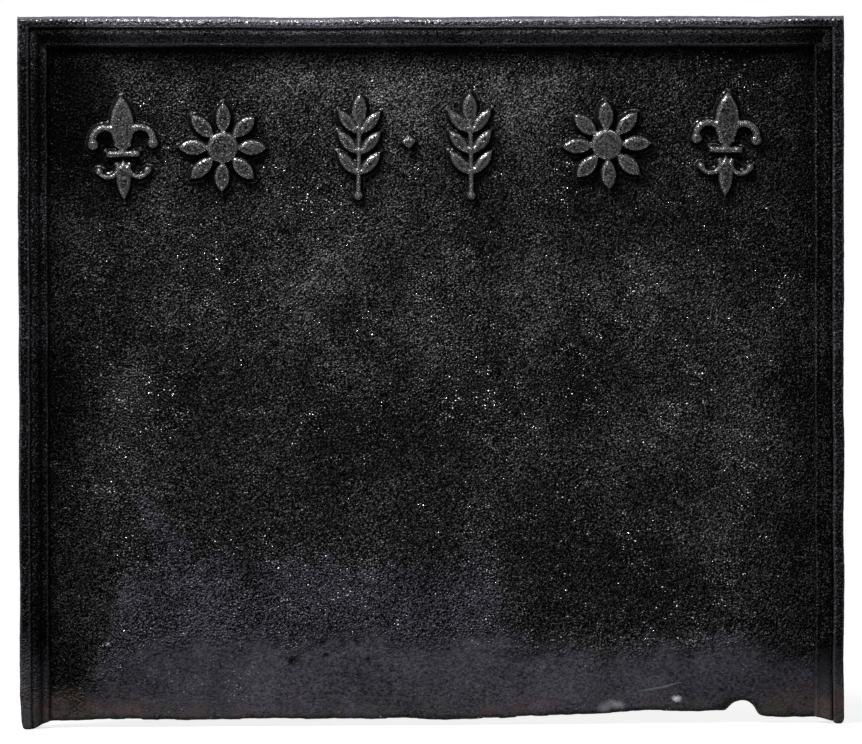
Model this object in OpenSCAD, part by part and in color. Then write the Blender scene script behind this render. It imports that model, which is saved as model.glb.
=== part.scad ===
// Cast-iron fireback: a flat plate with a raised rim and an inner moulding on
// three sides, and a row of stamped ornaments across the top.
// Front view is X right and Z up. The face looks along -Y and the back is flat.
// Origin: bottom centre of the casting, halfway through its depth.

/* [Plate] */
// Overall width at the widest place, near the foot of the left edge
plate_w = 764; // [700:1:840]
// Height at the left edge, which is the taller one
plate_h = 657; // [600:1:720]
// Thickness of the flat plate, behind the mouldings
plate_t = 16; // [12:1:24]
// How much lower the right end of the top edge is than the left end
top_fall = 5; // [0:0.5:8]
// How far the left edge leans in from its foot to its top
left_lean = 2.5; // [0:0.5:5]
// How far the right edge leans out from its foot to its top
right_lean = 4; // [0:0.5:6]

/* [Rim and moulding] */
// Relief of the outer rim above the field
rim_h = 18; // [14:1:24]
// Width of the outer rim
rim_w = 11; // [8:0.5:14]
// Width of the rim and the moulding together
border_w = 28; // [25:1:36]
// Relief of the moulding at its outer side, in the groove beside the rim
ovolo_h = 15; // [12:0.5:17]
// Relief of the narrow flat band at the moulding's inner side
band_h = 7; // [5:0.5:9]

/* [Stamps] */
// Height of the ornaments' centres above the foot
stamp_z = 535; // [500:1:560]
// Height of the tall ornaments
stamp_tall = 102; // [80:1:112]
// Relief of the ornaments
stamp_relief = 8; // [5:0.5:12]
// How far the side of an ornament leans in from its base to its top
stamp_draft = 2.5; // [1:0.5:3]

/* [Hidden] */
$fn = 48;

depth = plate_t + rim_h;
back_y = depth / 2;
field_y = back_y - plate_t;
half_w = plate_w / 2;

// Corners of the outline, in front view. The feet's corners are carried on
// below the hearth so that the side mouldings can be cut to the outline there.
foot_z = -4;
top_left = [-half_w + left_lean, plate_h];
top_right = [half_w, plate_h - top_fall];
foot_left = [-half_w, foot_z];
foot_right = [half_w - right_lean, foot_z];

// The left edge stands upright below this height and leans in above it
left_upright = 36;

// The burnt and corroded bottom edge, from the left foot to the right foot.
// A foot's points are [distance in from its own outer edge, height], and the
// points between the feet are [place along X, height].
left_foot_edge = [[1, 8], [2.5, 1.5], [5, 0], [12, 0], [20, 4], [28, 6.5]];
worn_edge = [[-310, 6.5], [-124, 6.5], [0, 5], [60, 6], [135, 9], [205, 11.5], [262, 11.5]];
right_foot_edge = [[78, 5], [24, 5], [13, 2.5], [9, 0], [3, 0], [1, 4]];

// The bite broken out of the bottom edge near the right foot: a round end, and
// a mouth that opens from it towards the left and reaches the hearth
bite = [285, 7.5];
bite_r = 13;
bite_mouth = [-22, 15];

// Places and hand-set turns of the ornaments along the row
fleur_x = [-284, 273];
rosette_x = [-192, 163];
sprig_x = [-66, 37];
lozenge_x = -20.5;
stamp_turn = [1.5, -1, -1.5, 1, 2, -2];

arc_steps = 10;

function unit(v) = v / norm(v);
function mirror_x(points, x) = [for (p = points) [x - p[0], p[1]]];
function shift_x(points, x) = [for (p = points) [x + p[0], p[1]]];

// Quarter of an ellipse from [x, y + ry] down to [x + rx, y]
function quarter(x, y, rx, ry) = [
    for (i = [0 : arc_steps]) let (a = 90 * (1 - i / arc_steps)) [x + rx * cos(a), y + ry * sin(a)]
];

module outline() {
    difference() {
        polygon(concat(
            [top_left],
            [[-half_w, left_upright]],
            shift_x(left_foot_edge, -half_w),
            worn_edge,
            mirror_x(right_foot_edge, half_w - right_lean),
            [top_right]
        ));
        translate(bite) circle(bite_r);
        polygon([
            [bite[0] + bite_mouth[0], 0],
            bite + bite_r * [-sin(45), sin(45)],
            bite + [bite_r, 0],
            [bite[0] + bite_mouth[1], 0]
        ]);
    }
}

// Stands a front-view shape up, from its back at y_back to its face at y_face
module standing(y_face, y_back) {
    translate([0, y_back, 0]) rotate([90, 0, 0]) linear_extrude(y_back - y_face) children();
}

// Sweeps a section from a to b in front view. Each point of the section is
// [relief, distance in from the edge], and the inside is on the right of travel.
module swept(section, a, b) {
    along = b - a;
    translate([a[0], field_y, a[1]])
        rotate([0, atan2(along[0], along[1]), 0])
            rotate([0, 0, -90]) linear_extrude(norm(along)) polygon(section);
}

// The strip of front view that each length of the border is mitred to, wider
// than the border
mitre_reach = 60;
mitre_left = top_left + mitre_reach * (unit(top_right - top_left) + unit(foot_left - top_left));
mitre_right = top_right + mitre_reach * (unit(top_left - top_right) + unit(foot_right - top_right));
top_strip = [top_left, top_right, mitre_right, mitre_left];
left_strip = [top_left, mitre_left, foot_left + [mitre_reach, 0], foot_left];
right_strip = [top_right, foot_right, foot_right - [mitre_reach, 0], mitre_right];

// One length of the border from a to b, swept past both ends and cut to its
// mitres and to the outline
overrun = 5;
clearance = 1;
module border_length(section, a, b, strip) {
    past = overrun * unit(b - a);
    color("#222224") intersection() {
        swept(section, a - past, b + past);
        standing(field_y - rim_h - clearance, field_y + clearance) polygon(strip);
        standing(field_y - rim_h - clearance, field_y + clearance) outline();
    }
}

// Section of the outer rim: a flat fillet with a rounded outer corner and a
// bevelled inner one
rim_round = 3;
rim_bevel = 1;
rim_section = concat(
    [[0, 0]],
    [for (p = quarter(0, 0, rim_round, rim_round)) [rim_h - rim_round + p[0], rim_round - p[1]]],
    [[rim_h, rim_w - rim_bevel], [rim_h - rim_bevel, rim_w], [0, rim_w]]
);

// Section of the inner moulding: a groove, an ovolo, a narrow flat band and a
// steep step to the field
groove_w = 1.5;
groove_d = 1.5;
quirk_h = 1;
band_w = 6;
step_w = 2;
ovolo_from = rim_w + groove_w;
ovolo_to = border_w - step_w - band_w;
ovolo_foot = band_h + quirk_h;
ovolo = quarter(ovolo_from, ovolo_foot, ovolo_to - ovolo_from, ovolo_h - ovolo_foot);
moulding_section = concat(
    [[0, rim_w], [ovolo_h - groove_d, rim_w], [ovolo_h - groove_d, ovolo_from]],
    [for (p = ovolo) [p[1], p[0]]],
    [[band_h, ovolo_to], [band_h, border_w - step_w], [0, border_w]]
);

// Ornament pieces. Each lies in X and Y with its base at z = 0 and its sides
// leaning in, as a pattern that has to draw out of the sand.

// Section across a stroke, with leaning sides
function drafted(width) = [
    [0, 0], [width, 0], [width - stamp_draft, stamp_relief], [stamp_draft, stamp_relief]
];

// A pointed leaf along Y, centred at the origin, between two wide arcs
module leaf(length, width) {
    arc_out = (pow(length, 2) - pow(width, 2)) / (4 * width);
    arc_r = arc_out + width / 2;
    intersection() {
        translate([-arc_out, 0, 0]) boss(arc_r, $fn = 180);
        translate([arc_out, 0, 0]) boss(arc_r, $fn = 180);
    }
}

// Part of a ring, from one angle through a sweep, with a round end
module curl(radius, stroke, from, sweep, knob) {
    rotate([0, 0, from]) rotate_extrude(angle = sweep)
        translate([radius - stroke / 2, 0]) polygon(drafted(stroke));
    rotate([0, 0, from + sweep]) translate([radius, 0, 0]) boss(knob);
}

// A round boss with leaning sides
module boss(radius, relief = stamp_relief) {
    cylinder(h = relief, r1 = radius, r2 = radius - stamp_draft);
}

// A straight bar along X from the origin, with leaning ends and sides
module drafted_bar(length, width) {
    intersection() {
        rotate([90, 0, 90]) linear_extrude(length) polygon(drafted(width));
        translate([0, width, 0]) rotate([90, 0, 0]) linear_extrude(width) polygon(drafted(length));
    }
}

// A fleur-de-lis: a tall crown leaf over a tail leaf, side petals and tail
// curls that turn outwards, and the band that ties them
crown_l = stamp_tall * 0.58;
crown_w = 25;
tail_l = stamp_tall * 0.42;
tail_w = 16;
tie_l = 34;
tie_w = 9;
tie_y = -10;
module fleur() {
    color("#2b2b2e") {
        translate([0, (stamp_tall - crown_l) / 2, 0]) leaf(crown_l, crown_w);
        translate([0, (tail_l - stamp_tall) / 2, 0]) leaf(tail_l, tail_w);
        for (side = [0, 1]) mirror([side, 0, 0]) {
            translate([16, 7, 0]) curl(radius = 12, stroke = 9.5, from = 210, sweep = -225, knob = 6.5);
            translate([14, -18, 0]) curl(radius = 9, stroke = 7.5, from = 150, sweep = 190, knob = 5);
        }
        translate([-tie_l / 2, tie_y, 0]) drafted_bar(tie_l, tie_w);
    }
}

// A rosette: petals that meet under a round boss
petals = 8;
petal_l = 33;
petal_w = 18;
petal_out = 27;
boss_r = 16;
boss_proud = 1.5;
module rosette() {
    color("#2b2b2e") {
        for (i = [0 : petals - 1])
            rotate([0, 0, 360 / petals * i]) translate([0, petal_out, 0]) leaf(petal_l, petal_w);
        boss(boss_r, stamp_relief + boss_proud);
    }
}

// A sprig: a stem with a round foot, a leaf at its tip and pairs of side leaves
stem_l = stamp_tall * 0.8;
stem_w = 7.5;
foot_r = 5.6;
tip_l = stamp_tall * 0.34;
tip_w = 17;
leaf_pairs = 3;
leaf_l = 33;
leaf_w = 14;
leaf_step = 19;
leaf_spread = 40;
leaf_low = -28;
module sprig() {
    foot_y = foot_r - stamp_tall / 2;
    color("#2b2b2e") {
        translate([stem_w / 2, foot_y, 0]) rotate([0, 0, 90]) drafted_bar(stem_l, stem_w);
        translate([0, foot_y, 0]) boss(foot_r);
        translate([0, (stamp_tall - tip_l) / 2, 0]) leaf(tip_l, tip_w);
        for (i = [0 : leaf_pairs - 1], side = [-1, 1])
            translate([0, leaf_low + leaf_step * i, 0]) rotate([0, 0, side * leaf_spread])
                translate([0, leaf_l / 2, 0]) leaf(leaf_l, leaf_w);
    }
}

// A small lozenge: a square stood on its corner
lozenge_side = 13.5;
lozenge_up = 4;
lozenge_turn = 50;
module lozenge() {
    color("#2b2b2e") at_row(lozenge_x, stamp_z + lozenge_up, lozenge_turn)
        translate([-lozenge_side / 2, -lozenge_side / 2, 0]) drafted_bar(lozenge_side, lozenge_side);
}

// Puts an ornament on the field at a place in front view, turned in its own plane
module at_row(x, z, turn) {
    translate([x, field_y, z]) rotate([90, 0, 0]) rotate([0, 0, turn]) children();
}

module plate() {
    color("#1d1d1f") standing(field_y, back_y) outline();
}

plate();
border_length(rim_section, top_left, top_right, top_strip);  // top_rim
border_length(rim_section, foot_left, top_left, left_strip);  // left_rim
border_length(rim_section, top_right, foot_right, right_strip);  // right_rim
border_length(moulding_section, top_left, top_right, top_strip);  // top_moulding
border_length(moulding_section, foot_left, top_left, left_strip);  // left_moulding
border_length(moulding_section, top_right, foot_right, right_strip);  // right_moulding
at_row(fleur_x[0], stamp_z, stamp_turn[0]) fleur();  // left_fleur
at_row(rosette_x[0], stamp_z, stamp_turn[1]) rosette();  // left_rosette
at_row(sprig_x[0], stamp_z, stamp_turn[2]) sprig();  // left_sprig
lozenge();
at_row(sprig_x[1], stamp_z, stamp_turn[3]) sprig();  // right_sprig
at_row(rosette_x[1], stamp_z, stamp_turn[4]) rosette();  // right_rosette
at_row(fleur_x[1], stamp_z, stamp_turn[5]) fleur();  // right_fleur
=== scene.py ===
import math

import bpy
import numpy as np
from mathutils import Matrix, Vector, kdtree, noise


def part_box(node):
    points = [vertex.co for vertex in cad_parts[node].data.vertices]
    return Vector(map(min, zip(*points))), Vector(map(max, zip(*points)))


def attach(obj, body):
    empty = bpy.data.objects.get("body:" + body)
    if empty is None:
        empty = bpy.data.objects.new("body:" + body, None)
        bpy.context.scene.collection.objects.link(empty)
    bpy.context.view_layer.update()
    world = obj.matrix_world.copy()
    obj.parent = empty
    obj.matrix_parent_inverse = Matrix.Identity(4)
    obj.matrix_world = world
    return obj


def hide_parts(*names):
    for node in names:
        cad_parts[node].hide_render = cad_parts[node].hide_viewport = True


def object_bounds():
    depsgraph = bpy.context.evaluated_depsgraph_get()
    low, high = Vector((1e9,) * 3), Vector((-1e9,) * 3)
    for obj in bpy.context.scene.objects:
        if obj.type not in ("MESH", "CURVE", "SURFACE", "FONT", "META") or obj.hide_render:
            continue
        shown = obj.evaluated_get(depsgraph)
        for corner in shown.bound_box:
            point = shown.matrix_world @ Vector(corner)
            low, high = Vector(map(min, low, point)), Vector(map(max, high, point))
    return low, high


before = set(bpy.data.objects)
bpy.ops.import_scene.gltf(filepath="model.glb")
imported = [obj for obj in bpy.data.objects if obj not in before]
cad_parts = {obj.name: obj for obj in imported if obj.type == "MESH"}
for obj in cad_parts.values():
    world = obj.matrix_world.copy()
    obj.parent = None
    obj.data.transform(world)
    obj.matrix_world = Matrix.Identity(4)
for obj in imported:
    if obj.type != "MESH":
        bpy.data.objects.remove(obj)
cadBox = [list(corner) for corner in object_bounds()]
mm = 0.001
onPlane = 0.1 * mm    # a point this near to a plane lies on it

# The casting's own planes, read from the frame
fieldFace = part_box("plate")[0].y     # the flat field that everything stands on
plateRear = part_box("plate")[1].y
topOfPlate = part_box("plate")[1].z
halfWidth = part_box("plate")[1].x


# Camera, at the photo's angle
shot = {
    "pixelsWide": 862,
    "pixelMm": 0.9198,                 # a pixel at the front of the rim
    "distance": 4.0,
    "aim": (-0.0009, -17 * mm, 0.3263),
    "roll": 0.41,                      # the casting was photographed a little out of level
    "sensor": 36.0,
    "farthest": 60,
}
camera = bpy.data.objects.new("studioCamera", bpy.data.cameras.new("studioCamera"))
bpy.context.scene.collection.objects.link(camera)
camera.data.sensor_width = shot["sensor"]
camera.data.lens = shot["sensor"] * shot["distance"] / (shot["pixelsWide"] * shot["pixelMm"] * mm)
camera.data.clip_end = shot["farthest"]
camera.location = Vector(shot["aim"]) + Vector((0, -shot["distance"], 0))
camera.rotation_euler = (math.radians(90), math.radians(shot["roll"]), 0)
bpy.context.scene.camera = camera
bpy.context.scene.view_settings.view_transform = "Standard"
print("camera set")


# Helpers
def pickOnly(*objects):
    if bpy.context.object and bpy.context.object.mode != "OBJECT":
        bpy.ops.object.mode_set(mode="OBJECT")
    bpy.ops.object.select_all(action="DESELECT")
    for o in objects:
        o.select_set(True)
    bpy.context.view_layer.objects.active = objects[0]


def places(piece):
    at = np.empty(len(piece.data.vertices) * 3, np.float32)
    piece.data.vertices.foreach_get("co", at)
    return at.reshape(-1, 3)


def facings(piece):
    facing = np.empty(len(piece.data.vertices) * 3, np.float32)
    piece.data.vertex_normals.foreach_get("vector", facing)
    return facing.reshape(-1, 3)


def setPlaces(piece, at):
    piece.data.vertices.foreach_set("co", at.ravel())
    piece.data.update()


def selectWhere(piece, chosen):
    bpy.ops.object.mode_set(mode="OBJECT")
    mesh = piece.data
    mesh.polygons.foreach_set("select", np.zeros(len(mesh.polygons), bool))
    mesh.edges.foreach_set("select", np.zeros(len(mesh.edges), bool))
    mesh.vertices.foreach_set("select", chosen)
    bpy.ops.object.mode_set(mode="EDIT")


def push(piece, chosen, by):
    selectWhere(piece, chosen)
    bpy.ops.transform.translate(value=by)
    bpy.ops.object.mode_set(mode="OBJECT")


def groupWhere(piece, name, chosen):
    group = piece.vertex_groups.new(name=name)
    group.add([int(i) for i in np.nonzero(chosen)[0]], 1.0, "REPLACE")


def modify(piece, kind, **settings):
    pickOnly(piece)
    change = piece.modifiers.new(kind.title(), kind)
    for key, value in settings.items():
        setattr(change, key, value)
    bpy.ops.object.modifier_apply(modifier=change.name)


def copyNode(nodeName, pieceName):
    piece = bpy.data.objects.new(pieceName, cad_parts[nodeName].data.copy())
    bpy.context.scene.collection.objects.link(piece)
    pickOnly(piece)
    bpy.ops.object.mode_set(mode="EDIT")
    bpy.ops.mesh.select_all(action="SELECT")
    bpy.ops.mesh.remove_doubles(threshold=0.01 * mm)
    bpy.ops.object.mode_set(mode="OBJECT")
    return piece


def nearest(points):
    tree = kdtree.KDTree(len(points))
    for i, at in enumerate(points.tolist()):
        tree.insert(at, i)
    tree.balance()
    return tree


def mark(piece, name, values):
    layer = piece.data.attributes.new(name, "FLOAT", "POINT")
    layer.data.foreach_set("value", np.ascontiguousarray(values, np.float32))


# Sand textures, shared so that neighbouring pieces move together
def sandTexture(name, sizeMm, colour=False, depth=1):
    texture = bpy.data.textures.new(name, "CLOUDS")
    texture.noise_scale = sizeMm * mm
    texture.noise_depth = depth
    texture.noise_basis = "IMPROVED_PERLIN"
    texture.cloud_type = "COLOR" if colour else "GRAYSCALE"
    return texture


sand = {
    "handSet": sandTexture("handSet", 85, colour=True),    # the pattern's lengths aren't dead straight
    "rammed": sandTexture("rammed", 26, depth=2),          # where the sand was rammed by hand
    "lumps": sandTexture("lumps", 6, depth=2),             # lumps and burnt-on sand
    "flow": sandTexture("flow", 34, depth=3),              # the open back, where the metal ran and froze
}
sand["flow"].contrast = 2.6

# What the mould and long use did to every piece
castLook = {
    "handSetMm": 3.2,
    "rammedMm": 0.5,
    "midLevel": 0.6,         # lumps go in a little more than they come out
    "cornerMm": 4,
    "dipMm": 1.1,            # how low the top edge is worn, about this place and above this height
    "dipAt": -45 * mm,
    "dipHalf": 190 * mm,
    "dipFrom": 600 * mm,
    "skinMm": 4,             # how far in from the outline the skin counts as an outer side
    "wearRounds": 2,
    "shadeSmooth": 65,       # edges flatter than this many degrees are shaded smooth
}


def castSurface(piece, lumpMm):
    modify(piece, "DISPLACE", texture=sand["handSet"], texture_coords="LOCAL",
           direction="RGB_TO_XYZ", strength=castLook["handSetMm"] * mm, mid_level=0.5)
    modify(piece, "DISPLACE", texture=sand["rammed"], texture_coords="LOCAL",
           direction="NORMAL", strength=castLook["rammedMm"] * mm, mid_level=castLook["midLevel"])
    modify(piece, "DISPLACE", texture=sand["lumps"], texture_coords="LOCAL",
           vertex_group="sandy" if "sandy" in piece.vertex_groups else "",
           direction="NORMAL", strength=lumpMm * mm, mid_level=castLook["midLevel"])
    # the top edge worn low along the middle
    at = places(piece)
    along = (at[:, 0] - castLook["dipAt"]) / castLook["dipHalf"]
    upwards = (at[:, 2] - castLook["dipFrom"]) / (topOfPlate - castLook["dipFrom"])
    at[:, 2] -= castLook["dipMm"] * mm * np.exp(-(along ** 4)) * np.clip(upwards, 0, 1)
    # and the top corners knocked round
    corner = castLook["cornerMm"] * mm
    for end in (-1, 1):
        middle = np.array([end * (halfWidth - corner), topOfPlate - corner])
        out = at[:, [0, 2]] - middle
        beyond = (out[:, 0] * end > 0) & (out[:, 1] > 0)
        reach = np.maximum(np.linalg.norm(out, axis=1), 1e-6)
        kept = np.where(beyond, np.minimum(1, corner / reach), 1)
        at[:, [0, 2]] = middle + out * kept[:, None]
    setPlaces(piece, np.clip(at, cadBox[0], cadBox[1]))


def markWear(piece, gain=1.0):
    # how sharply the surface curves outwards at each point, in 1/mm: brushing polishes what stands out
    at, facing = places(piece).astype(np.float64), facings(piece)
    ends = np.empty(len(piece.data.edges) * 2, np.int32)
    piece.data.edges.foreach_get("vertices", ends)
    ends = ends.reshape(-1, 2)
    here = np.concatenate([ends[:, 0], ends[:, 1]])
    there = np.concatenate([ends[:, 1], ends[:, 0]])
    step = at[there] - at[here]
    bend = -2 * (facing[here] * step).sum(1) / np.maximum((step ** 2).sum(1), 1e-12) * mm
    count = np.maximum(np.bincount(here, minlength=len(at)), 1)
    wear = np.bincount(here, bend, len(at)) / count
    for _ in range(castLook["wearRounds"]):
        wear = 0.5 * wear + 0.5 * np.bincount(here, wear[there], len(at)) / count
    mark(piece, "wear", gain * wear)


def raiseWear(piece, least):
    wear = np.zeros(len(piece.data.vertices), np.float32)
    piece.data.attributes["wear"].data.foreach_get("value", wear)
    piece.data.attributes["wear"].data.foreach_set("value", np.maximum(wear, least).astype(np.float32))


def facesOut(facing):
    return np.clip(3 * facing - 1.2, 0, 1)    # 1 where it faces outwards, and 0 from 66 degrees away


def outerSides(piece):
    across = np.abs(places(piece)[:, 0])
    return (across > halfWidth - castLook["skinMm"] * mm) * facesOut(np.abs(facings(piece)[:, 0]))


def topEdge(piece):
    height = places(piece)[:, 2]
    return (height > topOfPlate - castLook["skinMm"] * mm) * facesOut(facings(piece)[:, 2])


def finishPiece(piece, nodeName, material):
    pickOnly(piece)
    bpy.ops.object.shade_smooth_by_angle(angle=math.radians(castLook["shadeSmooth"]))
    piece.data.materials.clear()
    piece.data.materials.append(material)
    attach(piece, "root")
    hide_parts(nodeName)
    print(piece.name, "has", len(piece.data.polygons), "faces")


# Materials
def toLinear(hexColour):
    parts = [int(hexColour[i:i + 2], 16) / 255 for i in (1, 3, 5)]
    return [p / 12.92 if p <= 0.04045 else ((p + 0.055) / 1.055) ** 2.4 for p in parts] + [1.0]


def perMm(sizeMm):
    return 1 / (sizeMm * mm)


def addNode(tree, kind, inputs=None, out=0, **settings):
    made = tree.nodes.new("ShaderNode" + kind)
    for key, value in settings.items():
        setattr(made, key, value)
    for key, value in (inputs or {}).items():
        if isinstance(value, bpy.types.NodeSocket):
            tree.links.new(value, made.inputs[key])
        else:
            made.inputs[key].default_value = value
    return made.outputs[out] if made.outputs else None


def newMaterial(name):
    material = bpy.data.materials.new(name)
    material.use_nodes = True
    material.node_tree.nodes.clear()
    return material, material.node_tree


# how far out of an oval a place is: 0 at its middle and 1 at its edge
def outOf(tree, here, xMm, zMm, wideMm, tallMm, turn=0):
    near = addNode(tree, "Mapping", {"Vector": here, "Location": (xMm * mm, 0, zMm * mm),
                                     "Rotation": (0, math.radians(turn), 0),
                                     "Scale": (wideMm * mm, 1.0, tallMm * mm)}, vector_type="TEXTURE")
    return addNode(tree, "VectorMath", {0: near}, out="Value", operation="LENGTH")


# Where fire, rust and the painted shade lie on the face, in mm across from the middle and up from the hearth
# (where it starts, where it is whole)
stretches = {
    "footUp": (45, 12),            # the smooth foot, before its own unevenness and steps
    "patchesUp": (-12, -50),       # the grainy blue patches, the same way
    # painted shade, darker towards the sides
    "sideShade": (285, 345),
    "cornerShade": (275, 305),      # painted shade across, and up, in the top corners
    "cornerShadeUp": (470, 530),
    "mouldingShadow": (600, 617),    # painted shadow under the top moulding
    "footShade": (80, 260),         # thin painted shade over the smooth foot, darker towards the sides
    "rust": (250, 340),
    "rustUp": (42, 12),
    "scaleUp": (30, 12),
}
fire = {
    "middle": 10,                  # the painted shade and the rust lie evenly about this line
    "footRagged": 100, "footShare": 0.82,
    "patchesRagged": 120,
    # from and to across the face, and how much lower the edge is from there on
    "footSteps": [(-275, -330, 50), (60, 160, 10)],
    "patchesSteps": [(100, 40, -75), (-285, -320, 120)],
    "lick": (-259, 190, 17, 50, -30), "lickHigh": 80,    # one lick of flame went higher
}


def over(stretch):
    # the two ends of a stretch, as a MapRange takes them
    start, end = stretches[stretch]
    return {1: start * mm, 2: end * mm}


# Grey cast iron from an open sand mould, blackleaded and brushed: soot black in
# the pits, dull and grainy between, and burnished to bare graphite on high grains
def blackleadedIron(name, look):
    material, tree = newMaterial(name)
    here = addNode(tree, "TexCoord", out="Object")
    xyz = addNode(tree, "SeparateXYZ", {0: here}).node.outputs
    wear = addNode(tree, "Attribute", out="Fac", attribute_name="wear")
    # the pieces carry painted shade and a painted highlight as attributes, besides wear and bare iron
    paintedShade = addNode(tree, "Attribute", out="Fac", attribute_name="paintedShade")
    shelf = addNode(tree, "Attribute", out="Fac", attribute_name="shelf")
    polishAndHighlight = addNode(tree, "Attribute", out="Fac", attribute_name="polishAndHighlight")

    # sand grain, 0 in the pits and 1 on the grains
    drawn = addNode(tree, "Mapping", {"Vector": here, "Scale": (0.8, 1.0, 1.2)})    # brushed sideways
    fine = addNode(tree, "TexNoise", {"Vector": drawn, "Scale": perMm(look["fineMm"]), "Detail": 1.0})
    pebble = addNode(tree, "TexNoise", {"Vector": here, "Scale": perMm(look["pebbleMm"]), "Detail": 0.0})
    grain = addNode(tree, "Mix", {0: 0.32, 2: fine, 3: pebble})
    grain = addNode(tree, "MapRange", {0: grain, 1: 0.34, 2: 0.66})
    broad = addNode(tree, "Mapping", {"Vector": here, "Scale": (1.15, 1.0, 0.9)})
    mottle = addNode(tree, "TexNoise", {"Vector": broad, "Scale": perMm(90), "Detail": 4.0,
                                        "Roughness": 0.45})
    mottle = addNode(tree, "MapRange", {0: mottle, 1: 0.3, 2: 0.7})
    crowd = addNode(tree, "TexNoise", {"Vector": drawn, "Scale": perMm(17), "Detail": 4.0,
                                       "Roughness": 0.65})
    patches = addNode(tree, "TexNoise", {"Vector": here, "Scale": perMm(60), "Detail": 6.0,
                                         "Roughness": 0.7})

    # the fire's side: bluish and smooth along the foot, with grainy blue patches above it
    level = addNode(tree, "Math", {0: patches, 1: -fire["footRagged"] * mm, 2: xyz["Z"]},
                    operation="MULTIPLY_ADD")
    for start, end, lower in fire["footSteps"]:
        step = addNode(tree, "MapRange", {0: xyz["X"], 1: start * mm, 2: end * mm, 3: 0.0, 4: lower * mm})
        level = addNode(tree, "Math", {0: level, 1: step})
    smooth = addNode(tree, "MapRange", {0: level, **over("footUp"), 3: 0.0, 4: fire["footShare"]},
                     interpolation_type="SMOOTHSTEP")
    level = addNode(tree, "Math", {0: patches, 1: -fire["patchesRagged"] * mm, 2: level},
                    operation="MULTIPLY_ADD")
    for start, end, lower in fire["patchesSteps"]:
        step = addNode(tree, "MapRange", {0: xyz["X"], 1: start * mm, 2: end * mm, 3: 0.0, 4: lower * mm})
        level = addNode(tree, "Math", {0: level, 1: step})
    lick = outOf(tree, here, *fire["lick"])
    lick = addNode(tree, "MapRange", {0: lick, 1: 0.3, 2: 1.3, 3: -fire["lickHigh"] * mm, 4: 0.0})
    level = addNode(tree, "Math", {0: level, 1: lick})
    blue = addNode(tree, "MapRange", {0: level, **over("patchesUp")}, interpolation_type="SMOOTHSTEP")

    # painted shade: darker at the sides and in the top corners, a painted shadow under the top moulding,
    # and painted shade round the relief
    outer = addNode(tree, "Math", {0: xyz["X"], 1: -fire["middle"] * mm})
    outer = addNode(tree, "Math", {0: outer}, operation="ABSOLUTE")
    edgeShade = addNode(tree, "MapRange", {0: outer, **over("sideShade"), 3: 0.0, 4: look["sideShade"]})
    high = addNode(tree, "MapRange", {0: xyz["Z"], **over("cornerShadeUp"), 3: 0.0, 4: look["topShade"]})
    corner = addNode(tree, "MapRange", {0: outer, **over("cornerShade")})
    corner = addNode(tree, "Math", {0: high, 1: corner}, operation="MULTIPLY")
    edgeShade = addNode(tree, "MapRange", {0: corner, 3: edgeShade, 4: 1.0})
    # a painted shadow under the top moulding
    shadowUnder = addNode(tree, "MapRange", {0: xyz["Z"], **over("mouldingShadow"), 3: 0.0,
                                       4: 1.5 * look["topShade"]})
    edgeShade = addNode(tree, "Math", {0: edgeShade, 1: shadowUnder}, operation="MAXIMUM")
    thin = addNode(tree, "MapRange", {0: outer, **over("footShade"), 3: 0.0, 4: 0.33 * look["sideShade"]})
    shadeMask = addNode(tree, "MapRange", {0: smooth, 3: edgeShade, 4: thin})
    shadeMask = addNode(tree, "Math", {0: shadeMask, 1: paintedShade}, operation="MAXIMUM")

    # the tone shifts only the tops of the grains: random mottling, the fire's blue, and ovals of painted
    # light and shade
    tone = addNode(tree, "Math", {0: mottle, 1: 0.38, 2: look["lift"]}, operation="MULTIPLY_ADD")
    tone = addNode(tree, "Math", {0: blue, 1: look["burnt"], 2: tone}, operation="MULTIPLY_ADD")
    patch = addNode(tree, "MapRange", {0: crowd, 1: 0.3, 2: 0.7, 3: -0.07, 4: 0.07})
    tone = addNode(tree, "Math", {0: tone, 1: patch})
    # soft ovals of painted light where the amount is above 0, and of painted shade below it
    for amount, *place in look["shades"]:
        shade = outOf(tree, here, *place)
        shade = addNode(tree, "MapRange", {0: shade, 1: 0.1, 2: 1.3, 3: amount, 4: 0.0},
                        interpolation_type="SMOOTHSTEP")
        tone = addNode(tree, "Math", {0: tone, 1: shade})
    tone = addNode(tree, "Math", {0: grain, 1: tone}, use_clamp=True)
    tone = addNode(tree, "Math", {0: tone, 1: look["contrast"]}, operation="POWER")
    tops = addNode(tree, "Mix", {0: blue, 6: toLinear(look["iron"]), 7: toLinear(look["blue"])}, 2,
                   data_type="RGBA")
    body = addNode(tree, "Mix", {0: tone, 6: toLinear(look["sootAndShade"]), 7: tops}, 2, data_type="RGBA")
    clouded = addNode(tree, "TexNoise", {"Vector": drawn, "Scale": perMm(2.4), "Detail": 6.0,
                                         "Roughness": 0.75})
    clouded = addNode(tree, "Mix", {0: 0.3, 2: clouded, 3: patches})
    clouded = addNode(tree, "MapRange", {0: clouded, 1: 0.4, 2: 0.6})
    slate = addNode(tree, "Mix", {0: clouded, 6: toLinear(look["slateDark"]), 7: toLinear(look["slate"])}, 2,
                    data_type="RGBA")
    body = addNode(tree, "Mix", {0: smooth, 6: body, 7: slate}, 2, data_type="RGBA")
    # painted shade darkens the body towards the soot colour, and the highest grains are rubbed free of it
    shadeCover = addNode(tree, "Math", {0: tone, 1: 4.0}, operation="POWER")
    shadeCover = addNode(tree, "Math", {0: shadeCover, 1: -look["rubbed"], 2: 1.0}, operation="MULTIPLY_ADD")
    shadeCover = addNode(tree, "Math", {0: shadeMask, 1: shadeCover}, operation="MULTIPLY")
    body = addNode(tree, "Mix", {0: shadeCover, 6: body, 7: toLinear(look["sootAndShade"])}, 2, data_type="RGBA")
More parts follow.
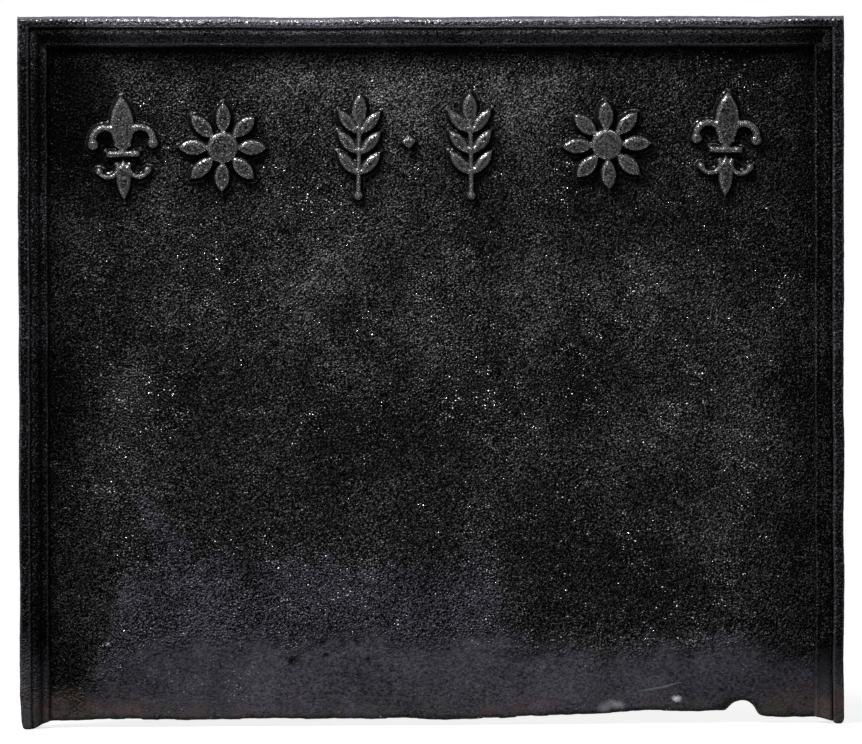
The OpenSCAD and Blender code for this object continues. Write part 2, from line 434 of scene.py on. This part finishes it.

    # worn edges are smooth and lightly polished, unless the painted shade has dulled them
    ridge = addNode(tree, "MapRange", {0: wear, 1: look["ridgeFrom"], 2: look["ridgeTo"]})
    broken = addNode(tree, "MapRange", {0: grain, 1: 0.1, 2: 0.6, 3: 0.35, 4: 1.0})
    ridge = addNode(tree, "Math", {0: ridge, 1: broken}, operation="MULTIPLY")
    dull = addNode(tree, "MapRange", {0: edgeShade, 1: 0.0, 2: 0.8, 3: 0.3, 4: 0.9})
    dull = addNode(tree, "MapRange", {0: wear, 1: 0.35, 2: 0.6, 3: edgeShade, 4: dull})
    ridge = addNode(tree, "MapRange", {0: dull, 3: ridge, 4: 0.0})
    body = addNode(tree, "Mix", {0: ridge, 6: body, 7: toLinear(look["ridge"])}, 2, data_type="RGBA")
    # bare iron on the border's shoulder and foot, the outer sides and the top edge; where the shoulder faces
    # up, its lighter colour is also painted light from above
    bare = addNode(tree, "Mix", {0: grain, 6: toLinear(look["shelfDark"]), 7: toLinear(look["shelf"])}, 2,
                   data_type="RGBA")
    body = addNode(tree, "Mix", {0: shelf, 6: body, 7: bare}, 2, data_type="RGBA")

    # rust that creeps in from the bottom corners, and burnt scale along the bottom edge
    rusty = addNode(tree, "MapRange", {0: outer, **over("rust"), 3: 0.0, 4: 0.9})
    low = addNode(tree, "MapRange", {0: xyz["Z"], **over("rustUp")})
    rusty = addNode(tree, "Math", {0: rusty, 1: low}, operation="MULTIPLY")
    bloom = addNode(tree, "TexNoise", {"Vector": here, "Scale": perMm(24), "Detail": 7.0, "Roughness": 0.7})
    bloom = addNode(tree, "MapRange", {0: bloom, 1: 0.4, 2: 0.58})
    rusty = addNode(tree, "Math", {0: rusty, 1: bloom}, operation="MULTIPLY")
    rust = addNode(tree, "Mix", {0: grain, 6: toLinear("#2a1e19"), 7: toLinear("#604c42")}, 2,
                   data_type="RGBA")
    body = addNode(tree, "Mix", {0: rusty, 6: body, 7: rust}, 2, data_type="RGBA")
    scaly = addNode(tree, "MapRange", {0: xyz["Z"], **over("scaleUp"), 3: 0.0, 4: 0.7})
    scaly = addNode(tree, "Math", {0: scaly, 1: bloom}, operation="MULTIPLY")
    scale = addNode(tree, "MapRange", {0: patches, 1: 0.46, 2: 0.54})
    scale = addNode(tree, "Mix", {0: scale, 6: toLinear("#3d403b"), 7: toLinear("#4b4040")}, 2,
                    data_type="RGBA")
    body = addNode(tree, "Mix", {0: scaly, 6: body, 7: scale}, 2, data_type="RGBA")

    # pits, and scuffs down to dull metal
    wobble = addNode(tree, "TexNoise", {"Vector": here, "Scale": perMm(3.5), "Detail": 3.0})
    for paint, *place in look["marks"]:
        spot = outOf(tree, here, *place)
        spot = addNode(tree, "Math", {0: spot, 1: wobble})
        spot = addNode(tree, "MapRange", {0: spot, 1: 1.75, 2: 0.85})
        body = addNode(tree, "Mix", {0: spot, 6: body, 7: toLinear(paint)}, 2, data_type="RGBA")

    # pinholes in the smooth foot
    cells = addNode(tree, "TexVoronoi", {"Vector": drawn, "Scale": perMm(look["fleckMm"])}).node.outputs
    chance = addNode(tree, "SeparateColor", {0: cells["Color"]}).node.outputs
    pinhole = addNode(tree, "MapRange", {0: chance["Blue"], 1: 0.8, 2: 1.0, 3: 0.0, 4: 0.6})
    pinhole = addNode(tree, "Math", {0: pinhole, 1: cells["Distance"]}, operation="SUBTRACT")
    pinhole = addNode(tree, "MapRange", {0: pinhole, 1: 0.0, 2: 0.12, 3: 0.0, 4: 0.7})
    pinhole = addNode(tree, "Math", {0: pinhole, 1: smooth}, operation="MULTIPLY")
    body = addNode(tree, "Mix", {0: pinhole, 6: body, 7: toLinear(look["sootAndShade"])}, 2, data_type="RGBA")

    # single grains burnished to bare graphite
    crowd = addNode(tree, "MapRange", {0: crowd, 1: 0.42, 2: 0.72, 3: 0.0, 4: 3.5 * look["fleckShare"]})
    chosen = addNode(tree, "Math", {0: chance["Red"], 1: crowd})
    # more and wider burnished flecks along the painted highlight
    chosen = addNode(tree, "Math", {0: chosen, 1: polishAndHighlight})
    chosen = addNode(tree, "Math", {0: ridge, 1: look["ridgeFlecks"], 2: chosen}, operation="MULTIPLY_ADD")
    chosen = addNode(tree, "MapRange", {0: chosen, 1: 1.0, 2: 1.0 + look["fleckShare"]})
    width = addNode(tree, "Math", {0: chance["Green"], 1: 3.0}, operation="POWER")
    width = addNode(tree, "MapRange", {0: width, 3: 0.16, 4: 0.46})
    width = addNode(tree, "Math", {0: polishAndHighlight, 1: 0.3, 2: width}, operation="MULTIPLY_ADD")
    middle = addNode(tree, "Math", {0: width, 1: cells["Distance"]}, operation="SUBTRACT")
    middle = addNode(tree, "MapRange", {0: middle, 1: 0.0, 2: 0.08})
    fleck = addNode(tree, "Math", {0: chosen, 1: middle}, operation="MULTIPLY")
    # fewer burnished flecks on the smooth foot and under the painted shade
    hidden = addNode(tree, "Math", {0: smooth, 1: 0.55, 2: shadeMask}, operation="MULTIPLY_ADD")
    hidden = addNode(tree, "MapRange", {0: polishAndHighlight, 1: 0.0, 2: 0.8, 3: hidden, 4: 0.2})
    exposed = addNode(tree, "MapRange", {0: hidden, 3: 1.0, 4: 0.0})
    fleck = addNode(tree, "Math", {0: fleck, 1: exposed}, operation="MULTIPLY")

    # the open back, where the iron froze in the air: a dull brown crust that was never brushed
    behind = addNode(tree, "MapRange", {0: xyz["Y"], 1: plateRear - 10 * mm, 2: plateRear - 4 * mm})
    crust = addNode(tree, "TexNoise", {"Vector": here, "Scale": perMm(11), "Detail": 8.0,
                                       "Roughness": 0.68})
    crust = addNode(tree, "Mix", {0: 0.35, 2: crust, 3: grain})
    # paler where the back stands out and darker in its hollows: painted shade that shows the relief
    proud = addNode(tree, "MapRange", {0: xyz["Y"], 1: plateRear - 4 * mm, 2: plateRear - 0.5 * mm})
    pale = addNode(tree, "MapRange", {0: crust, 1: 0.3, 2: 0.7})
    pale = addNode(tree, "Mix", {0: 0.4, 2: pale, 3: proud})
    back = addNode(tree, "Mix", {0: pale, 6: toLinear("#121111"), 7: toLinear("#56514d")}, 2,
                   data_type="RGBA")
    stain = addNode(tree, "Math", {0: bloom, 1: mottle}, operation="MULTIPLY")
    stain = addNode(tree, "MapRange", {0: stain, 1: 0.35, 2: 0.9, 3: 0.0, 4: 0.45})
    back = addNode(tree, "Mix", {0: stain, 6: back, 7: toLinear("#54402f")}, 2, data_type="RGBA")
    body = addNode(tree, "Mix", {0: behind, 6: body, 7: back}, 2, data_type="RGBA")
    fleck = addNode(tree, "MapRange", {0: behind, 3: fleck, 4: 0.0})
    colour = addNode(tree, "Mix", {0: fleck, 6: body, 7: toLinear(look["graphite"])}, 2, data_type="RGBA")

    # grain in relief, nearly gone on the foot and on worn edges
    relief = addNode(tree, "MapRange", {0: smooth, 3: 1.0, 4: -0.08})
    relief = addNode(tree, "MapRange", {0: ridge, 3: relief, 4: look["ridgeGrain"]})
    height = addNode(tree, "Mix", {0: 0.2, 2: pebble, 3: fine})
    height = addNode(tree, "Math", {0: height, 1: relief}, operation="MULTIPLY")
    crust = addNode(tree, "Math", {0: crust, 1: 2.2}, operation="MULTIPLY")
    height = addNode(tree, "Mix", {0: behind, 2: height, 3: crust})
    bump = addNode(tree, "Bump", {"Height": height, "Strength": 1.0, "Distance": look["grainMm"] * mm})
    gloss = addNode(tree, "MapRange", {0: grain, 1: 0.2, 2: 0.9, 3: 0.0, 4: look["gloss"]})
    # no gloss under the painted shade
    gloss = addNode(tree, "MapRange", {0: shadeMask, 3: gloss, 4: 0.0})
    gloss = addNode(tree, "MapRange", {0: ridge, 3: gloss, 4: look["ridgeGloss"]})
    gloss = addNode(tree, "MapRange", {0: shelf, 3: gloss, 4: 0.0})
    gloss = addNode(tree, "MapRange", {0: behind, 3: gloss, 4: 0.12})
    rough = addNode(tree, "MapRange", {0: grain, 1: 0.2, 2: 0.8, 3: 0.45, 4: look["rough"]})
    rough = addNode(tree, "MapRange", {0: ridge, 3: rough, 4: look["ridgeRough"]})
    rough = addNode(tree, "MapRange", {0: behind, 3: rough, 4: 0.62})
    shader = addNode(tree, "BsdfPrincipled", {
        "Base Color": colour, "Metallic": fleck, "Roughness": rough, "Specular IOR Level": gloss,
        "Normal": bump,
    })
    addNode(tree, "OutputMaterial", {"Surface": shader})
    return material


plateIron = blackleadedIron("blackleadedPlate", {
    "sootAndShade": "#020202", "iron": "#6f6f70", "blue": "#504f5a", "slate": "#57555f", "slateDark": "#121115",
    "graphite": "#a6a7ae", "lift": -0.31, "burnt": 0.3, "contrast": 3.7,
    "fineMm": 0.95, "pebbleMm": 1.8, "grainMm": 3.6, "rough": 0.16, "gloss": 0.10,
    "fleckMm": 2.2, "fleckShare": 0.28, "sideShade": 0.68, "topShade": 0.5, "rubbed": 0.0,
    "ridge": "#2c2c2e", "ridgeGloss": 0.2, "ridgeRough": 0.3, "ridgeGrain": 0.2, "ridgeFlecks": 0.0,
    "ridgeFrom": 0.15, "ridgeTo": 0.4, "shelf": "#525257", "shelfDark": "#353539",
    # the shades are soft ovals of painted light and painted shade on the field
    # amount or colour, x, z, half width, half height in mm and turn in degrees, as seen from the front
    "shades": [(-0.10, -50, 254, 240, 85), (-0.2, 170, 525, 85, 75), (-0.12, -243, 300, 42, 85),
               (0.17, -20, 585, 220, 70), (0.05, 252, 302, 60, 130), (-0.08, 200, 120, 120, 50),
               (0.11, 70, 408, 240, 50), (0.13, -322, 150, 50, 130), (0.12, -350, 130, 24, 110),
               (-0.2, -300, 540, 70, 70), (-0.08, 140, 280, 60, 50)],
    "marks": [("#070708", -131, 60.5, 6, 5), ("#070708", -100, 66, 3.5, 2.5), ("#070708", -103, 78, 3.5, 2.5),
              ("#070708", -72, 79, 3, 2.5), ("#070708", -61, 62, 2.5, 2.5), ("#77777b", 157, 14, 6, 5),
              ("#808084", 167, 18, 9, 4, 8), ("#c4c4c8", 224, 23, 4, 3), ("#a8a8aa", -301, 77, 2, 2),
              ("#66666c", 204, 32.5, 15, 0.9, -9), ("#66666c", 217, 35.5, 12, 0.7, -12)],
})
borderIron = blackleadedIron("blackleadedBorder", {
    "sootAndShade": "#050505", "iron": "#6d6d73", "blue": "#58585e", "slate": "#3a3a3f", "slateDark": "#232326",
    "graphite": "#989aa0", "lift": -0.11, "burnt": 0.1, "contrast": 2.0,
    "fineMm": 1.2, "pebbleMm": 2.0, "grainMm": 2.0, "rough": 0.18, "gloss": 0.08,
    "fleckMm": 2.4, "fleckShare": 0.04, "sideShade": 0.82, "topShade": 0.0, "rubbed": 0.35,
    "ridge": "#56565e", "ridgeGloss": 0.6, "ridgeRough": 0.22, "ridgeGrain": 0.3, "ridgeFlecks": 0.1,
    "ridgeFrom": 0.12, "ridgeTo": 0.35, "shelf": "#525257", "shelfDark": "#353539",
    "shades": [], "marks": [],
})
ornamentIron = blackleadedIron("blackleadedOrnament", {
    "sootAndShade": "#040404", "iron": "#424244", "blue": "#424244", "slate": "#3e3e40", "slateDark": "#3e3e40",
    "graphite": "#a4a5aa", "lift": 0.0, "burnt": 0.0, "contrast": 2.1,
    "fineMm": 1.1, "pebbleMm": 2.0, "grainMm": 1.4, "rough": 0.26, "gloss": 0.35,
    "fleckMm": 2.2, "fleckShare": 0.04, "sideShade": 0.0, "topShade": 0.0, "rubbed": 0.0,
    "ridge": "#1e1e20", "ridgeGloss": 0.9, "ridgeRough": 0.26, "ridgeGrain": 0.08, "ridgeFlecks": 0.3,
    "ridgeFrom": 0.08, "ridgeTo": 0.25, "shelf": "#525257", "shelfDark": "#353539",
    "shades": [], "marks": [],
})
print("materials made")


# The border: three lengths of rim and three of moulding, mitred at the top corners
borderLook = {
    "voxelMm": 1.1,
    "lumpMm": 0.7,
    "sinkMm": 2.5,              # how far a moulding and a rim go into the plate behind
    "rimSinkMm": 6.0,
    "tuckMm": 4.0,              # and a moulding under its rim, as in one casting
    "pastMm": 6.0,              # cut back to the mitre once the surface is rough
    "softRounds": 3,
    "wornRounds": 9,
    "wornMm": 42,
    "wornGain": 1.6,
    "wornLeast": 0.35,
    # the shoulder that brushing and handling have worn along the whole top edge
    "shoulderMm": 4.2,
    "shoulderDrop": 4.6,
    "shoulderFront": (4, 10),   # it starts and is full this far out from the field
    # the shoulder's lighter bare colour and its glossy worn edge are also painted light from above
    "shoulderBare": (0.2, 0.125),
    "shoulderWear": 0.5,
    "crest": (4.4, 2.0, 0.8),   # the polished line, also a painted highlight: how far down, half its width, and how bright
    "rimGain": 1.8,
    "shadeFadeMm": 40,           # the painted shade is thin for this far down from the top
    # painted shade on the side lengths of the border, strongest low down
    "sootAndShade": {"left_rim": 0.96, "left_moulding": 0.94, "right_rim": 0.9, "right_moulding": 1.1},
    # how high the burnt foot reaches, over what height it fades, and how bare it is
    "burntFoot": {"left_rim": (95, 55, 0.74), "left_moulding": (78, 70, 0.6),
                  "right_rim": (75, 50, 0.64), "right_moulding": (72, 65, 0.6)},
    "sideShare": 0.5,           # how bare the outer sides are, which no brush blackened
}
reliefPieces = []

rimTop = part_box("top_rim")
corners = {
    "left": Vector((rimTop[0].x, 0, rimTop[1].z)),
    "right": Vector((halfWidth, 0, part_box("right_rim")[1].z)),
}
across = {"left": Vector((-1, 0, -1)).normalized(), "right": Vector((1, 0, -1)).normalized()}
outwards = {"top": Vector((0, 0, 1)), "left": Vector((-1, 0, 0)), "right": Vector((1, 0, 0))}


def cutMitre(piece, corner, keepTop):
    pickOnly(piece)
    bpy.ops.object.mode_set(mode="EDIT")
    bpy.ops.mesh.select_all(action="SELECT")
    bpy.ops.mesh.bisect(plane_co=corners[corner], plane_no=across[corner], use_fill=True,
                        clear_outer=keepTop, clear_inner=not keepTop, threshold=0.001 * mm)
    bpy.ops.object.mode_set(mode="OBJECT")


for side, outward in outwards.items():
    for part in ("rim", "moulding"):
        nodeName = side + "_" + part
        length = copyNode(nodeName, "cast_" + nodeName)
        at = places(length)
        outer = at @ np.array(outward)
        past = borderLook["pastMm"] * mm
        # past the mitres, and into what is behind
        if side == "top":
            push(length, at[:, 0] < 0, (-past, 0, 0))
            push(length, at[:, 0] > 0, (past, 0, 0))
        else:
            push(length, at[:, 2] > topOfPlate / 2, (0, 0, past))
        sink = borderLook["rimSinkMm" if part == "rim" else "sinkMm"]
        push(length, at[:, 1] > fieldFace - onPlane, (0, sink * mm, 0))
        if part == "moulding":
            push(length, outer > outer.max() - onPlane, outward * borderLook["tuckMm"] * mm)
        modify(length, "REMESH", mode="VOXEL", voxel_size=borderLook["voxelMm"] * mm, use_smooth_shade=True)
        modify(length, "SMOOTH", factor=0.5, iterations=borderLook["softRounds"])
        # burnt away further in some places than in others
        worn = length.vertex_groups.new(name="worn")
        for i, v in enumerate(places(length).tolist()):
            patch = noise.noise(Vector(v) / (borderLook["wornMm"] * mm))
            share = patch * borderLook["wornGain"] + borderLook["wornLeast"]
            if share > 0:
                worn.add([i], min(share, 1.0), "REPLACE")
        modify(length, "SMOOTH", factor=0.5, iterations=borderLook["wornRounds"], vertex_group="worn")
        length.vertex_groups.clear()
        if part == "rim":
            # the worn shoulder, below the line of the top edge
            at = places(length)
            edge = np.interp(at[:, 0], [corners["left"].x, corners["right"].x],
                             [corners["left"].z, corners["right"].z])
            below = (edge - at[:, 2]) / mm
            up = np.clip(1 - below / borderLook["shoulderMm"], 0, 1)
            start, full = borderLook["shoulderFront"]
            front = np.clip((fieldFace - start * mm - at[:, 1]) / ((full - start) * mm), 0, 1)
            at[:, 1] += borderLook["shoulderDrop"] * mm * up * front
            setPlaces(length, at)
        castSurface(length, borderLook["lumpMm"])
        markWear(length, borderLook["rimGain"] if part == "rim" else 1.0)
        shelf = 0
        if part == "rim":
            # the shoulder counts as a worn edge and as bare iron: wear, and painted light from above where it
            # faces up
            raiseWear(length, np.where(front > 0, np.minimum(3 * up, borderLook["shoulderWear"]), 0))
            least, rise = borderLook["shoulderBare"]
            shelf = np.clip((up - least) / rise, 0, 1)
            shelf = np.maximum(shelf, borderLook["sideShare"] * outerSides(length))
            # a painted highlight of burnished flecks along the polished line on the rim's front
            down, half, bright = borderLook["crest"]
            crest = np.clip(1.2 - np.abs(below - down) / half, 0, 1)
            mark(length, "polishAndHighlight", bright * crest * (front > 0))
        # the bare foot, and painted shade everywhere but at the top
        reach, fade, bare = borderLook["burntFoot"].get(nodeName, (0, 1, 0))
        burnt = bare * np.clip((reach - places(length)[:, 2] / mm) / fade, 0, 1)
        mark(length, "shelf", np.maximum(shelf, burnt))
        lower = np.clip((topOfPlate - places(length)[:, 2]) / (borderLook["shadeFadeMm"] * mm), 0, 1)
        mark(length, "paintedShade", borderLook["sootAndShade"].get(nodeName, 0) * lower)
        for corner in ("left", "right"):
            if side in ("top", corner):
                cutMitre(length, corner, side == "top")
        finishPiece(length, nodeName, borderIron)
        if part == "moulding":
            reliefPieces.append(length)


# The ornaments: loose stamps that the founder pressed into the sand one by one
ornamentLook = {
    "voxelMm": 0.75,
    "lumpMm": 0.45,
    "sinkMm": 2.0,         # into the plate behind
    "softRounds": 2,
    "flatFacing": -0.75,   # what faces forward more than this is a stamp's top
    "steepFade": 0.25,
    "chamferMm": 2.4,
    "chamferDrop": 1.7,
    "filletMm": 3.5,
    "flareMm": 2.0,
    # painted shade on a stamp's sides and round its foot
    "footShade": 0.88,
    "footShadeMm": 1.5,
    "bevelWear": 0.3,
    "upwardHighlight": 0.75,     # painted highlight on bevels that face upwards
    "upwardFrom": 0.2,
    "upwardFade": 0.3,
}

for nodeName in ("left_fleur", "left_rosette", "left_sprig", "lozenge",
                 "right_sprig", "right_rosette", "right_fleur"):
    stamp = copyNode(nodeName, "cast_" + nodeName)
    push(stamp, places(stamp)[:, 1] > fieldFace - onPlane, (0, ornamentLook["sinkMm"] * mm, 0))
    modify(stamp, "REMESH", mode="VOXEL", voxel_size=ornamentLook["voxelMm"] * mm, use_smooth_shade=True)
    modify(stamp, "SMOOTH", factor=0.5, iterations=ornamentLook["softRounds"])
    # brushing has worn the arris back to a narrow bevel
    at = places(stamp)
    flat = facings(stamp)[:, 1] < ornamentLook["flatFacing"]
    arris = nearest(at[~flat])
    inwards = np.array([arris.find(v)[2] if forward else 0 for v, forward in zip(at.tolist(), flat)])
    drop = ornamentLook["chamferDrop"] * mm
    worn = drop * np.clip(1 - inwards / (ornamentLook["chamferMm"] * mm), 0, 1)
    topFace = np.percentile(at[flat, 1], 2)
    at[:, 1] = np.where(flat, at[:, 1] + worn, np.maximum(at[:, 1], topFace + drop))
    setPlaces(stamp, at)
    modify(stamp, "SMOOTH", factor=0.5, iterations=ornamentLook["softRounds"])
    # sand crumbles at a stamp's foot, so the iron has a small fillet there
    at, facing = places(stamp), facings(stamp)
    near = np.clip(1 - (fieldFace - at[:, 1]) / (ornamentLook["filletMm"] * mm), 0, 1) ** 3
    at[:, [0, 2]] += ornamentLook["flareMm"] * mm * near[:, None] * facing[:, [0, 2]]
    setPlaces(stamp, at)
    castSurface(stamp, ornamentLook["lumpMm"])
    # painted shade on its sides and round its foot, and a painted highlight where its bevels face upwards
    steep = np.clip((facings(stamp)[:, 1] - ornamentLook["flatFacing"]) / ornamentLook["steepFade"], 0, 1)
    low = np.clip(2 - (fieldFace - places(stamp)[:, 1]) / (ornamentLook["footShadeMm"] * mm), 0, 1)
    mark(stamp, "paintedShade", ornamentLook["footShade"] * np.maximum(steep, low))
    markWear(stamp)
    raiseWear(stamp, np.where(flat & (worn > 0), ornamentLook["bevelWear"], 0))
    upward = (facings(stamp)[:, 2] - ornamentLook["upwardFrom"]) / ornamentLook["upwardFade"]
    upward = np.clip(upward, 0, 1)
    mark(stamp, "polishAndHighlight", ornamentLook["upwardHighlight"] * upward * (worn > 0) * (1 - steep))
    finishPiece(stamp, nodeName, ornamentIron)
    reliefPieces.append(stamp)


# The plate, with its open-cast back
plateLook = {
    "voxelMm": 2.6,
    "lumpMm": 0.7,
    "softRounds": 2,
    "biteCorners": [(272, 15.5, 13), (298.7, 9, 9)],    # x, z and reach in mm
    "biteRounds": 40,
    "flakeMm": 15, "flakeDeep": 0.5,
    "rippleMm": 8, "rippleDeep": 0.45,
    "flakeUp": 24, "flakeFade": 8, "flakeTo": 345,    # up to this height, and not on the feet
    "sandFrom": 45, "sandFade": 50, "sandLeast": 0.12,
    "flowMm": 4.5,
    "flowLevel": 0.95,     # the swells of the back hardly come out past its plane
    "backMm": 1.0,
    "keptFaces": 0.62,     # the sides and the back need fewer faces than the field
    "frontMm": 9,
    "haloMm": 2.5,
    "haloShare": 0.6,
    "haloDeep": 3,
    "footBand": 1.2,       # points this near to the field are where the relief stands on it
}

plate = copyNode("plate", "cast_plate")
modify(plate, "REMESH", mode="VOXEL", voxel_size=plateLook["voxelMm"] * mm, use_smooth_shade=True)
modify(plate, "SMOOTH", factor=0.5, iterations=plateLook["softRounds"])
# the corners of the bite have burnt round
bite = plate.vertex_groups.new(name="bite")
for i, at in enumerate(places(plate).tolist()):
    for x, z, reach in plateLook["biteCorners"]:
        near = 1 - math.hypot(at[0] - x * mm, at[2] - z * mm) / (reach * mm)
        if near > 0:
            bite.add([i], min(2 * near, 1), "REPLACE")
modify(plate, "SMOOTH", factor=0.5, iterations=plateLook["biteRounds"], vertex_group="bite")
# the burnt edge has flaked off in small steps
at = places(plate)
for v in at:
    low = (plateLook["flakeUp"] * mm - v[2]) / (plateLook["flakeFade"] * mm)
    if low > 0 and abs(v[0]) < plateLook["flakeTo"] * mm:
        flake = noise.cell(Vector((v[0] / (plateLook["flakeMm"] * mm), 0.5, 0.5)))
        ripple = noise.noise(Vector((v[0], 0, v[1] / 3)) / (plateLook["rippleMm"] * mm))
        v[2] += (plateLook["flakeDeep"] * flake + plateLook["rippleDeep"] * ripple) * mm * min(1, low)
setPlaces(plate, at)
groupWhere(plate, "back", places(plate)[:, 1] > plateRear - plateLook["backMm"] * mm)
modify(plate, "DISPLACE", texture=sand["flow"], texture_coords="LOCAL", vertex_group="back",
       direction="Y", strength=plateLook["flowMm"] * mm, mid_level=plateLook["flowLevel"])
# the burnt foot has lost its sand skin
sandy = plate.vertex_groups.new(name="sandy")
for i, at in enumerate(places(plate).tolist()):
    share = (at[2] - plateLook["sandFrom"] * mm) / (plateLook["sandFade"] * mm)
    sandy.add([i], min(max(share, plateLook["sandLeast"]), 1.0), "REPLACE")
castSurface(plate, plateLook["lumpMm"])
plate.vertex_groups.clear()
groupWhere(plate, "rear", places(plate)[:, 1] > fieldFace + plateLook["frontMm"] * mm)
modify(plate, "DECIMATE", ratio=plateLook["keptFaces"], vertex_group="rear", vertex_group_factor=1.0)
plate.vertex_groups.clear()
setPlaces(plate, np.clip(places(plate), cadBox[0], cadBox[1]))
markWear(plate)
mark(plate, "shelf", np.maximum(topEdge(plate), borderLook["sideShare"] * outerSides(plate)))

# painted shade lies close round everything that stands on the field
feet = [places(o) for o in reliefPieces]
feet = np.concatenate([at[np.abs(at[:, 1] - fieldFace) < plateLook["footBand"] * mm] for at in feet])
relief = nearest(feet)
halo = [plateLook["haloShare"] * math.exp(-relief.find(at)[2] / (plateLook["haloMm"] * mm))
        if at[1] < fieldFace + plateLook["haloDeep"] * mm else 0 for at in places(plate).tolist()]
mark(plate, "paintedShade", np.array(halo))
finishPiece(plate, "plate", plateIron)


# Studio
studio = {
    "floor": 40.0,
    "floorFace": "#f2f2f2",
    "floorBounce": "#6a6a6a",    # dull where it would throw light up at the casting
    "whiteShare": 0.75,          # near the casting, and all white from whiteBy on
    "whiteFrom": 0.6,
    "whiteBy": 1.5,
    "ambient": 0.10,
}
lamps = {
    "keyLamp": {"place": (-0.85, -0.85, 1.95), "aim": (0, 0, 0.35), "size": (1.2, 0.22), "watts": 84},
    "rearLamp": {"place": (1.35, 1.05, 1.9), "aim": (0, 0, 0.33), "size": (0.7, 0.4), "watts": 42},
}


def straightRays(tree):
    seen = addNode(tree, "LightPath").node.outputs
    found = addNode(tree, "Math", {0: seen["Is Camera Ray"], 1: seen["Is Glossy Ray"]}, operation="MAXIMUM")
    return addNode(tree, "Math", {0: found, 1: seen["Is Transmission Ray"]}, operation="MAXIMUM")


bpy.ops.object.select_all(action="DESELECT")
bpy.ops.mesh.primitive_plane_add(size=studio["floor"], location=(0, 0, 0))
floor = bpy.context.object
floor.name = "studioFloor"
floorPaint, tree = newMaterial("whiteFloor")
spot = addNode(tree, "TexCoord", out="Object")
away = addNode(tree, "VectorMath", {0: spot}, out="Value", operation="LENGTH")
share = addNode(tree, "MapRange", {0: away, 1: studio["whiteFrom"], 2: studio["whiteBy"],
                                   3: studio["whiteShare"], 4: 1.0}, interpolation_type="SMOOTHSTEP")
straight = straightRays(tree)
share = addNode(tree, "Math", {0: straight, 1: share}, operation="MULTIPLY")
seen = addNode(tree, "Mix", {0: straight, 6: toLinear(studio["floorBounce"]),
                             7: toLinear(studio["floorFace"])}, 2, data_type="RGBA")
paint = addNode(tree, "BsdfDiffuse", {"Color": seen})
glow = addNode(tree, "Emission", {"Color": toLinear("#ffffff"), "Strength": 1.0})
both = addNode(tree, "MixShader", {0: share, 1: paint, 2: glow})
addNode(tree, "OutputMaterial", {"Surface": both})
floor.data.materials.append(floorPaint)

world = bpy.data.worlds.new("paleStudio")
bpy.context.scene.world = world
world.use_nodes = True
tree = world.node_tree
tree.nodes.clear()
ambient = addNode(tree, "Background", {"Color": toLinear("#ffffff"), "Strength": studio["ambient"]})
white = addNode(tree, "Background", {"Color": toLinear("#ffffff"), "Strength": 1.0})
sky = addNode(tree, "MixShader", {0: straightRays(tree), 1: ambient, 2: white})
addNode(tree, "OutputWorld", {"Surface": sky})

for name, setting in lamps.items():
    lamp = bpy.data.objects.new(name, bpy.data.lights.new(name, "AREA"))
    bpy.context.scene.collection.objects.link(lamp)
    lamp.data.shape = "RECTANGLE"
    lamp.data.size, lamp.data.size_y = setting["size"]
    lamp.data.energy = setting["watts"]
    lamp.location = setting["place"]
    lamp.rotation_mode = "QUATERNION"
    towards = Vector(setting["aim"]) - Vector(setting["place"])
    lamp.rotation_quaternion = towards.to_track_quat("-Z", "Y")
print("studio lit")
